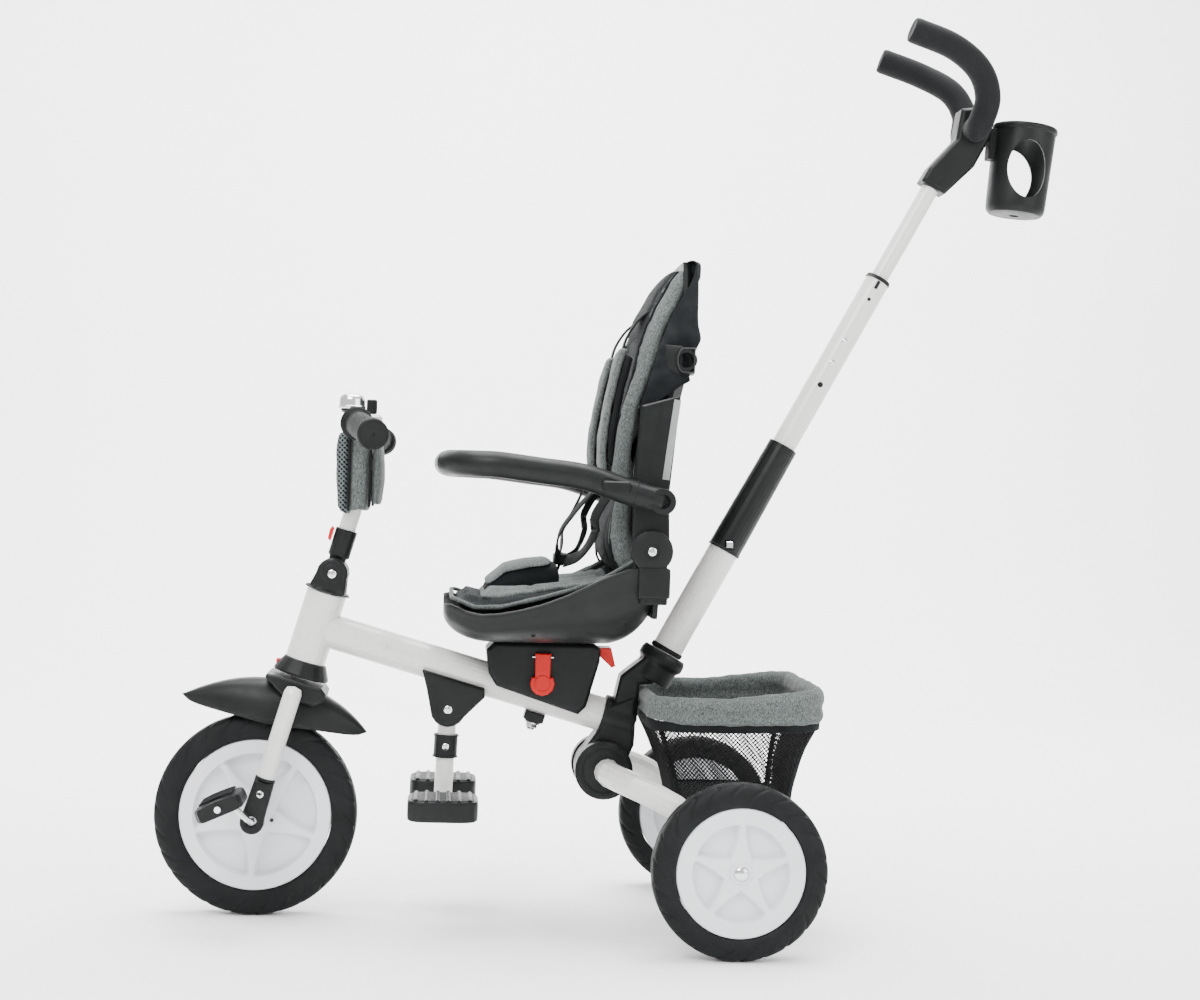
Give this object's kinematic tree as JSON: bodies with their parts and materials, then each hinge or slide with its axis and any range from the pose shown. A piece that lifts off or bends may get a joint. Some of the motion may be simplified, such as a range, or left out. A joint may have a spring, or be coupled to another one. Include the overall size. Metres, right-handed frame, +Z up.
{
  "type": "child's push tricycle",
  "caption": "Folding push tricycle for a small child, with a telescoping parent handle, a padded reclining seat, a safety bar, a footrest, a basket and a cup holder.",
  "frame": {"origin": "on the floor, under the middle of the whole object's box", "axes": "+X forward, +Y to the rider's left, +Z up"},
  "size_m": [1.134, 0.464, 1.1557],
  "materials": {
    "white_paint": "gloss warm white powder coat",
    "black_plastic": "fine-grained charcoal",
    "white_plastic": "satin bluish white",
    "foam_tyre": "matte foam rubber with a wavy tread",
    "red_plastic": "satin red",
    "bright_steel": "polished",
    "grey_fabric": "grey melange weave",
    "black_fabric": "black net and weave",
    "handle_foam": "matte foam"
  },
  "bodies": {
    "frame": {"main_frame": "white_paint", "head_collar": "black_plastic", "rear_housing": "black_plastic", "seat_stop": "black_plastic", "basket_rim": "grey_fabric", "basket_net": "black_fabric", "footrest_bracket": "black_plastic"},
    "steering": {"steerer_tube": "bright_steel", "crown_cover": "black_plastic", "fork_leg_left": "white_paint", "fork_leg_right": "white_paint", "fork_end_left": "black_plastic", "fork_end_right": "black_plastic", "mudguard": "black_plastic", "upper_yoke": "black_plastic"},
    "steering_button": {"clutch_button": "red_plastic"},
    "front_wheel": {"front_tyre": "foam_tyre", "front_rim": "white_plastic"},
    "crank": {"crank_axle": "bright_steel"},
    "left_pedal": {"pedal_left": "black_plastic"},
    "right_pedal": {"pedal_right": "black_plastic"},
    "bar_hinge": {"stem_socket": "black_plastic"},
    "height_lever": {"stem_lever": "red_plastic"},
    "handlebar": {"stem_and_bar": "white_paint", "grip_left": "black_plastic", "grip_right": "black_plastic", "bell": "bright_steel", "bar_bag": "grey_fabric"},
    "bell_thumb_lever": {"bell_lever": "black_plastic"},
    "rear_legs": {"fold_hub": "black_plastic", "rear_leg_left": "white_paint", "rear_leg_right": "white_paint"},
    "left_rear_wheel": {"rear_tyre_left": "foam_tyre", "rear_rim_left": "white_plastic"},
    "right_rear_wheel": {"rear_tyre_right": "foam_tyre", "rear_rim_right": "white_plastic"},
    "footrest": {"footrest_frame": "white_paint", "footrest_sleeve": "black_plastic"},
    "left_foot_pad": {"foot_pad_left": "black_plastic"},
    "right_foot_pad": {"foot_pad_right": "black_plastic"},
    "seat_carriage": {"seat_base": "black_plastic"},
    "seat_clamp": {"seat_clamp_lever": "red_plastic"},
    "seat_trigger": {"seat_release": "red_plastic"},
    "seat": {"seat_shell": "black_plastic", "seat_cushion": "grey_fabric"},
    "seat_back": {"back_shell": "black_plastic", "back_cushion": "grey_fabric"},
    "guard_bar": {"safety_bar": "black_plastic"},
    "left_bar_button": {"bar_button_left": "black_plastic"},
    "right_bar_button": {"bar_button_right": "black_plastic"},
    "push_handle": {"handle_lower_tube": "white_paint", "handle_sleeve": "black_plastic", "handle_middle_tube": "white_paint", "handle_top_ring": "black_plastic"},
    "push_handle_button": {"handle_button": "black_plastic"},
    "handle_top": {"handle_upper_tube": "white_paint", "handle_head": "black_plastic", "handle_grip_left": "handle_foam", "handle_grip_right": "handle_foam", "cup_holder": "black_plastic"}
  },
  "joints": [
    {"name": "steering_turn", "type": "hinge", "parent": "frame", "child": "steering", "pos_m": [0.44001, 0, 0.127], "axis": [-0.2723, 0, 0.9622], "range_deg": [-22, 22]},
    {"name": "steering_lock_press", "type": "slide", "parent": "frame", "child": "steering_button", "axis": [-0.9622, 0, -0.2723], "range_m": [0, 0.002], "stiffness_N_per_m": 600},
    {"name": "front_wheel_roll", "type": "hinge", "parent": "steering", "child": "front_wheel", "pos_m": [0.44001, 0, 0.127], "axis": [0, 1, 0], "continuous": true},
    {"name": "crank_turn", "type": "hinge", "parent": "steering", "child": "crank", "pos_m": [0.44001, 0, 0.127], "axis": [0, 1, 0], "continuous": true},
    {"name": "pedal_left_turn", "type": "hinge", "parent": "crank", "child": "left_pedal", "pos_m": [0.47101, 0.12, 0.157], "axis": [0, 1, 0], "continuous": true},
    {"name": "pedal_right_turn", "type": "hinge", "parent": "crank", "child": "right_pedal", "pos_m": [0.40901, -0.12, 0.097], "axis": [0, 1, 0], "continuous": true},
    {"name": "handlebar_fold", "type": "hinge", "parent": "steering", "child": "bar_hinge", "pos_m": [0.35323, 0, 0.43366], "axis": [0, 1, 0], "range_deg": [0, 90]},
    {"name": "stem_lever_flip", "type": "hinge", "parent": "bar_hinge", "child": "height_lever", "pos_m": [0.35784, 0, 0.47466], "axis": [0, 1, 0], "range_deg": [0, 60]},
    {"name": "handlebar_height", "type": "slide", "parent": "bar_hinge", "child": "handlebar", "axis": [-0.2723, 0, 0.9622], "range_m": [0, 0.02]},
    {"name": "bell_lever_flick", "type": "hinge", "parent": "handlebar", "child": "bell_thumb_lever", "pos_m": [0.31581, 0.04, 0.64], "axis": [0, 0, 1], "range_deg": [0, 12], "stiffness_Nm_per_rad": 0.02},
    {"name": "rear_wheels_fold", "type": "hinge", "parent": "frame", "child": "rear_legs", "pos_m": [0.00341, 0, 0.1955], "axis": [0, -1, 0], "range_deg": [0, 100]},
    {"name": "rear_left_wheel_roll", "type": "hinge", "parent": "rear_legs", "child": "left_rear_wheel", "pos_m": [-0.14599, 0.21, 0.1048], "axis": [0, 1, 0], "continuous": true},
    {"name": "rear_right_wheel_roll", "type": "hinge", "parent": "rear_legs", "child": "right_rear_wheel", "pos_m": [-0.14599, -0.21, 0.1048], "axis": [0, 1, 0], "continuous": true},
    {"name": "footrest_fold", "type": "hinge", "parent": "frame", "child": "footrest", "pos_m": [0.20231, 0, 0.2667], "axis": [0, 1, 0], "range_deg": [0, 60]},
    {"name": "foot_pad_left_fold", "type": "hinge", "parent": "footrest", "child": "left_foot_pad", "pos_m": [0.20531, 0.085, 0.151], "axis": [0, -1, 0], "range_deg": [0, 90]},
    {"name": "foot_pad_right_fold", "type": "hinge", "parent": "footrest", "child": "right_foot_pad", "pos_m": [0.20531, -0.085, 0.151], "axis": [0, -1, 0], "range_deg": [0, 90]},
    {"name": "seat_adjust", "type": "slide", "parent": "frame", "child": "seat_carriage", "axis": [0.9632, 0, 0.2689], "range_m": [-0.01, 0.01]},
    {"name": "seat_clamp_flip", "type": "hinge", "parent": "seat_carriage", "child": "seat_clamp", "pos_m": [0.08501, 0.0382, 0.342], "axis": [1, 0, 0], "range_deg": [0, 90]},
    {"name": "seat_release_pull", "type": "hinge", "parent": "seat_carriage", "child": "seat_trigger", "pos_m": [0.01101, 0, 0.349], "axis": [0, 1, 0], "range_deg": [0, 15]},
    {"name": "seat_lift_off", "type": "slide", "parent": "seat_carriage", "child": "seat", "axis": [0, 0, 1], "range_m": [0, 0.05]},
    {"name": "backrest_recline", "type": "hinge", "parent": "seat", "child": "seat_back", "pos_m": [-0.03569, 0, 0.4779], "axis": [0, -1, 0], "range_deg": [0, 22]},
    {"name": "safety_bar_lift", "type": "hinge", "parent": "seat_back", "child": "guard_bar", "pos_m": [-0.04449, 0, 0.5383], "axis": [0, -1, 0], "range_deg": [0, 75]},
    {"name": "bar_button_left_press", "type": "slide", "parent": "guard_bar", "child": "left_bar_button", "axis": [0, -1, 0], "range_m": [0, 0.002], "stiffness_N_per_m": 500},
    {"name": "bar_button_right_press", "type": "slide", "parent": "guard_bar", "child": "right_bar_button", "axis": [0, 1, 0], "range_m": [0, 0.002], "stiffness_N_per_m": 500},
    {"name": "push_handle_turn", "type": "hinge", "parent": "frame", "child": "push_handle", "pos_m": [-0.07179, 0, 0.3385], "axis": [-0.471, 0, 0.8821], "range_deg": [-22, 22]},
    {"name": "handle_button_press", "type": "slide", "parent": "push_handle", "child": "push_handle_button", "axis": [0, -1, 0], "range_m": [0, 0.001], "stiffness_N_per_m": 500},
    {"name": "handle_height", "type": "slide", "parent": "push_handle", "child": "handle_top", "axis": [-0.471, 0, 0.8821], "range_m": [-0.065, 0]}
  ],
  "couplings": [
    {"joint": "crank_turn", "follows": "front_wheel_roll", "ratio": 1},
    {"joint": "push_handle_turn", "follows": "steering_turn", "ratio": 1}
  ]
}
